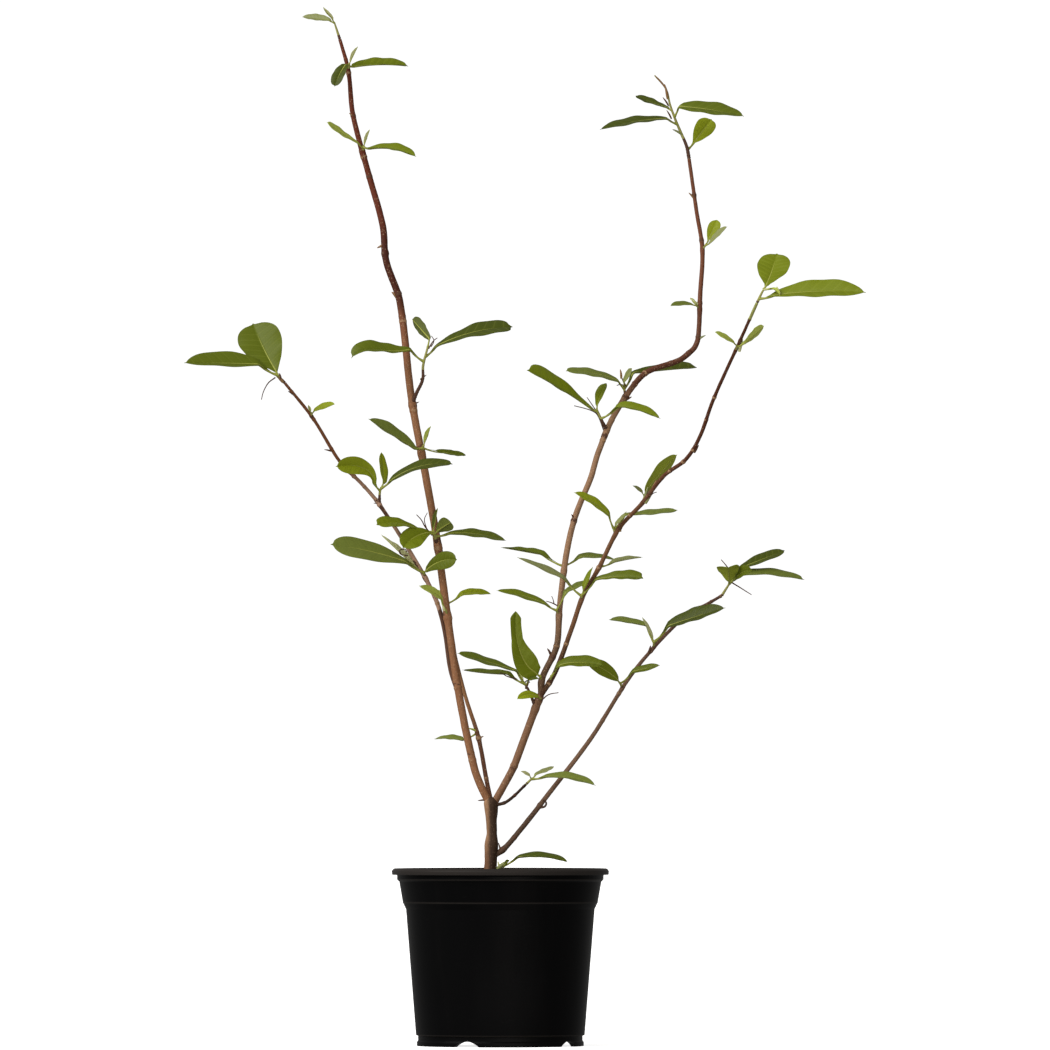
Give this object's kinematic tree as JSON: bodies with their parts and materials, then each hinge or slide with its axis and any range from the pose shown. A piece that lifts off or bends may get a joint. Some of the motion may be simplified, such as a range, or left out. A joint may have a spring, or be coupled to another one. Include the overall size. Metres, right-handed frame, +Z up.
{
  "type": "potted magnolia tree",
  "caption": "Young magnolia with slim arching stems and sparse green leaves, growing in a round black nursery pot filled with growing mix.",
  "frame": {"origin": "middle of the pot's flat underside", "axes": "+Z up along the plant, -Y the front, +X to the right as seen from the front"},
  "size_m": [0.6836, 0.3865, 1.0587],
  "materials": {
    "pot_plastic": "black moulded plastic with a soft sheen",
    "growing_mix": "dark brown crumbly growing mix, dull",
    "bark": "thin smooth brown bark, dull",
    "foliage": "fresh green leaves with a soft sheen"
  },
  "bodies": {
    "root": {"pot": "pot_plastic", "growing_mix": "growing_mix", "trunk": "bark", "left_stem": "bark", "left_branch": "bark", "back_stem": "bark", "right_stem": "bark", "upper_right_stem": "bark", "upper_right_shoot": "bark", "outer_right_stem": "bark", "low_branch": "bark", "short_twig": "bark", "left_stem_tip_leaves": "foliage", "left_stem_upper_leaves": "foliage", "left_stem_middle_leaves": "foliage", "left_stem_spur_leaves": "foliage", "left_stem_fan_leaves": "foliage", "left_stem_rosette": "foliage", "left_stem_lower_leaves": "foliage", "left_branch_tip_leaves": "foliage", "left_branch_outer_leaves": "foliage", "left_branch_spur_leaves": "foliage", "left_branch_fork_leaves": "foliage", "back_stem_low_leaf": "foliage", "back_stem_tip_leaves": "foliage", "right_fork_low_leaf": "foliage", "right_fork_spur_leaves": "foliage", "right_fork_tall_leaf": "foliage", "right_fork_side_leaf": "foliage", "upper_right_low_leaves": "foliage", "upper_right_lower_leaves": "foliage", "upper_right_spur_leaves": "foliage", "upper_right_bend_leaves": "foliage", "shoot_low_leaf": "foliage", "shoot_middle_leaves": "foliage", "shoot_tip_leaves": "foliage", "outer_right_low_leaves": "foliage", "outer_right_lower_leaf": "foliage", "outer_right_middle_leaves": "foliage", "outer_right_upper_leaves": "foliage", "outer_right_high_leaves": "foliage", "outer_right_tip_leaves": "foliage", "low_branch_middle_leaves": "foliage", "low_branch_upper_leaves": "foliage", "low_branch_tip_leaves": "foliage", "short_twig_tip_leaves": "foliage", "trunk_sprout_leaves": "foliage"}
  },
  "joints": []
}
